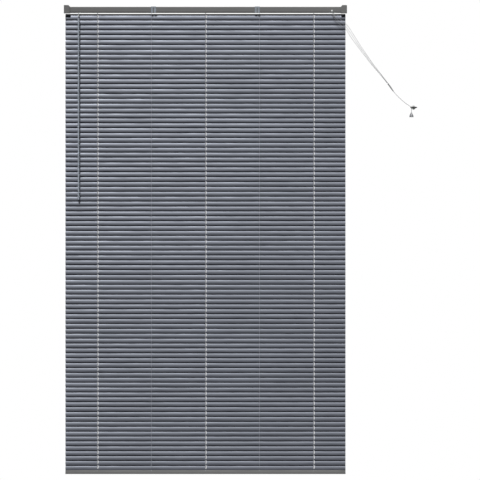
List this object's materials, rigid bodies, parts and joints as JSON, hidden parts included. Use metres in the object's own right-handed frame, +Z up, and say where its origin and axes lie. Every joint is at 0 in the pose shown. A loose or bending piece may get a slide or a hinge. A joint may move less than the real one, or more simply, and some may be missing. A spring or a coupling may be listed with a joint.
{
  "type": "venetian blind",
  "caption": "Venetian blind with closed grey aluminium slats on string ladders, a headrail with tilt wand and cord lock, a bottom rail and a pull cord led to a wall cleat.",
  "frame": {"origin": "point on the wall plane at mid-width, level with the top of the brackets", "axes": "+X to the right seen from the room, +Y into the wall, +Z up"},
  "size_m": [1.514, 0.0393, 2.0083],
  "materials": {
    "painted_steel": "satin grey enamel",
    "painted_aluminium": "semi-gloss silver-grey lacquer",
    "grey_plastic": "moulded, fine grain",
    "clear_plastic": "clear polished acrylic",
    "white_nylon": "moulded nylon",
    "dark_plastic": "satin moulded",
    "bare_steel": "zinc plated",
    "grey_cord": "braided polyester"
  },
  "bodies": {
    "root": {"headrail": "painted_steel", "headrail_end_cap_left": "grey_plastic", "headrail_end_cap_right": "grey_plastic", "bracket_left": "painted_steel", "bracket_right": "painted_steel", "valance_clip_left": "clear_plastic", "valance_clip_right": "clear_plastic", "cradle_1": "white_nylon", "cradle_2": "white_nylon", "cradle_3": "white_nylon", "cradle_4": "white_nylon", "cradle_5": "white_nylon", "tilter_housing": "white_nylon", "cord_lock_body": "white_nylon", "lift_cord_left": "grey_cord", "lift_cord_center": "grey_cord", "lift_cord_right": "grey_cord", "pull_strand_1": "grey_cord", "pull_strand_2": "grey_cord", "pull_strand_3": "grey_cord", "cord_connector": "grey_plastic", "pull_cord": "grey_cord", "cord_tassel": "clear_plastic", "cord_cleat": "dark_plastic", "ladder_segment_1": "grey_cord"},
    "gate_left": {"bracket_gate_left": "painted_steel"},
    "gate_right": {"bracket_gate_right": "painted_steel"},
    "lock_roller": {"cord_lock_roller": "bare_steel"},
    "tilt_shaft": {"tilt_rod": "bare_steel", "worm_gear": "white_nylon", "ladder_drum_1": "white_nylon", "ladder_drum_2": "white_nylon", "ladder_drum_3": "white_nylon", "ladder_drum_4": "white_nylon", "ladder_drum_5": "white_nylon"},
    "worm": {"worm_shaft": "white_nylon"},
    "wand_swivel": {"wand_hook": "bare_steel"},
    "wand": {"tilt_wand": "clear_plastic", "wand_cap": "clear_plastic"},
    "carriage_2": {"ladder_segment_2": "grey_cord"},
    "carriage_3": {"ladder_segment_3": "grey_cord"},
    "carriage_4": {"ladder_segment_4": "grey_cord"},
    "carriage_5": {"ladder_segment_5": "grey_cord"},
    "carriage_6": {"ladder_segment_6": "grey_cord"},
    "carriage_7": {"ladder_segment_7": "grey_cord"},
    "carriage_8": {"ladder_segment_8": "grey_cord"},
    "slat_group_1": {"slat_1": "painted_aluminium"},
    "slat_group_2": {"slat_2": "painted_aluminium"},
    "slat_group_3": {"slat_3": "painted_aluminium"},
    "slat_group_4": {"slat_4": "painted_aluminium"},
    "slat_group_5": {"slat_5": "painted_aluminium"},
    "slat_group_6": {"slat_6": "painted_aluminium"},
    "slat_group_7": {"slat_7": "painted_aluminium"},
    "slat_group_8": {"slat_8": "painted_aluminium"},
    "rail": {"bottom_rail": "painted_steel", "bottom_rail_cap_left": "grey_plastic", "bottom_rail_cap_right": "grey_plastic", "cord_plug_left": "grey_plastic", "cord_plug_center": "grey_plastic", "cord_plug_right": "grey_plastic"}
  },
  "joints": [
    {"name": "gate_left_hinge", "type": "hinge", "parent": "root", "child": "gate_left", "pos_m": [-0.593, -0.0311, -0.0012], "axis": [-1, 0, 0], "range_deg": [0, 95]},
    {"name": "gate_right_hinge", "type": "hinge", "parent": "root", "child": "gate_right", "pos_m": [0.593, -0.0311, -0.0012], "axis": [-1, 0, 0], "range_deg": [0, 95]},
    {"name": "lock_roller_slide", "type": "slide", "parent": "root", "child": "lock_roller", "axis": [0, 0, 1], "range_m": [0, 0.003]},
    {"name": "tilt_rod_turn", "type": "hinge", "parent": "root", "child": "tilt_shaft", "pos_m": [0, -0.0145, -0.0175], "axis": [-1, 0, 0], "range_deg": [0, 108]},
    {"name": "worm_turn", "type": "hinge", "parent": "root", "child": "worm", "pos_m": [-0.543, -0.0325, -0.043], "axis": [0, 0.766, 0.6428], "range_deg": [0, 1080]},
    {"name": "wand_swing", "type": "hinge", "parent": "root", "child": "wand_swivel", "pos_m": [-0.543, -0.0325, -0.043], "axis": [-1, 0, 0], "range_deg": [0, 28]},
    {"name": "wand_turn", "type": "hinge", "parent": "wand_swivel", "child": "wand", "pos_m": [-0.543, -0.0325, -0.056], "axis": [0, 0, 1], "range_deg": [0, 1080]},
    {"name": "slat_1_tilt", "type": "hinge", "parent": "root", "child": "slat_group_1", "pos_m": [0, -0.0145, -0.15385], "axis": [-1, 0, 0], "range_deg": [0, 70], "deforming": ["ladder_segment_1"]},
    {"name": "carriage_2_slide", "type": "slide", "parent": "root", "child": "carriage_2", "axis": [0, 0, 1], "range_m": [0, 0.2282]},
    {"name": "slat_2_tilt", "type": "hinge", "parent": "carriage_2", "child": "slat_group_2", "pos_m": [0, -0.0145, -0.38452], "axis": [-1, 0, 0], "range_deg": [0, 70], "deforming": ["ladder_segment_2"]},
    {"name": "carriage_3_slide", "type": "slide", "parent": "root", "child": "carriage_3", "axis": [0, 0, 1], "range_m": [0, 0.4563]},
    {"name": "slat_3_tilt", "type": "hinge", "parent": "carriage_3", "child": "slat_group_3", "pos_m": [0, -0.0145, -0.61519], "axis": [-1, 0, 0], "range_deg": [0, 70], "deforming": ["ladder_segment_3"]},
    {"name": "carriage_4_slide", "type": "slide", "parent": "root", "child": "carriage_4", "axis": [0, 0, 1], "range_m": [0, 0.6843]},
    {"name": "slat_4_tilt", "type": "hinge", "parent": "carriage_4", "child": "slat_group_4", "pos_m": [0, -0.0145, -0.84586], "axis": [-1, 0, 0], "range_deg": [0, 70], "deforming": ["ladder_segment_4"]},
    {"name": "carriage_5_slide", "type": "slide", "parent": "root", "child": "carriage_5", "axis": [0, 0, 1], "range_m": [0, 0.9334]},
    {"name": "slat_5_tilt", "type": "hinge", "parent": "carriage_5", "child": "slat_group_5", "pos_m": [0, -0.0145, -1.0975], "axis": [-1, 0, 0], "range_deg": [0, 70], "deforming": ["ladder_segment_5"]},
    {"name": "carriage_6_slide", "type": "slide", "parent": "root", "child": "carriage_6", "axis": [0, 0, 1], "range_m": [0, 1.1824]},
    {"name": "slat_6_tilt", "type": "hinge", "parent": "carriage_6", "child": "slat_group_6", "pos_m": [0, -0.0145, -1.34914], "axis": [-1, 0, 0], "range_deg": [0, 70], "deforming": ["ladder_segment_6"]},
    {"name": "carriage_7_slide", "type": "slide", "parent": "root", "child": "carriage_7", "axis": [0, 0, 1], "range_m": [0, 1.4314]},
    {"name": "slat_7_tilt", "type": "hinge", "parent": "carriage_7", "child": "slat_group_7", "pos_m": [0, -0.0145, -1.60078], "axis": [-1, 0, 0], "range_deg": [0, 70], "deforming": ["ladder_segment_7"]},
    {"name": "lift_slide", "type": "slide", "parent": "root", "child": "carriage_8", "axis": [0, 0, 1], "range_m": [0, 1.68], "deforming": ["lift_cord_left", "lift_cord_center", "lift_cord_right"]},
    {"name": "slat_8_tilt", "type": "hinge", "parent": "carriage_8", "child": "slat_group_8", "pos_m": [0, -0.0145, -1.85242], "axis": [-1, 0, 0], "range_deg": [0, 70], "deforming": ["ladder_segment_8"]},
    {"name": "bottom_rail_tilt", "type": "hinge", "parent": "carriage_8", "child": "rail", "pos_m": [0, -0.0145, -1.9966], "axis": [-1, 0, 0], "range_deg": [0, 70]}
  ],
  "couplings": [
    {"joint": "worm_turn", "follows": "tilt_rod_turn", "ratio": 10},
    {"joint": "wand_turn", "follows": "tilt_rod_turn", "ratio": 10},
    {"joint": "slat_1_tilt", "follows": "tilt_rod_turn", "ratio": 0.6481},
    {"joint": "carriage_2_slide", "follows": "lift_slide", "ratio": 0.13573},
    {"joint": "slat_2_tilt", "follows": "tilt_rod_turn", "ratio": 0.6481},
    {"joint": "carriage_3_slide", "follows": "lift_slide", "ratio": 0.27145},
    {"joint": "slat_3_tilt", "follows": "tilt_rod_turn", "ratio": 0.6481},
    {"joint": "carriage_4_slide", "follows": "lift_slide", "ratio": 0.40718},
    {"joint": "slat_4_tilt", "follows": "tilt_rod_turn", "ratio": 0.6481},
    {"joint": "carriage_5_slide", "follows": "lift_slide", "ratio": 0.55538},
    {"joint": "slat_5_tilt", "follows": "tilt_rod_turn", "ratio": 0.6481},
    {"joint": "carriage_6_slide", "follows": "lift_slide", "ratio": 0.70359},
    {"joint": "slat_6_tilt", "follows": "tilt_rod_turn", "ratio": 0.6481},
    {"joint": "carriage_7_slide", "follows": "lift_slide", "ratio": 0.85179},
    {"joint": "slat_7_tilt", "follows": "tilt_rod_turn", "ratio": 0.6481},
    {"joint": "slat_8_tilt", "follows": "tilt_rod_turn", "ratio": 0.6481},
    {"joint": "bottom_rail_tilt", "follows": "tilt_rod_turn", "ratio": 0.6481}
  ]
}
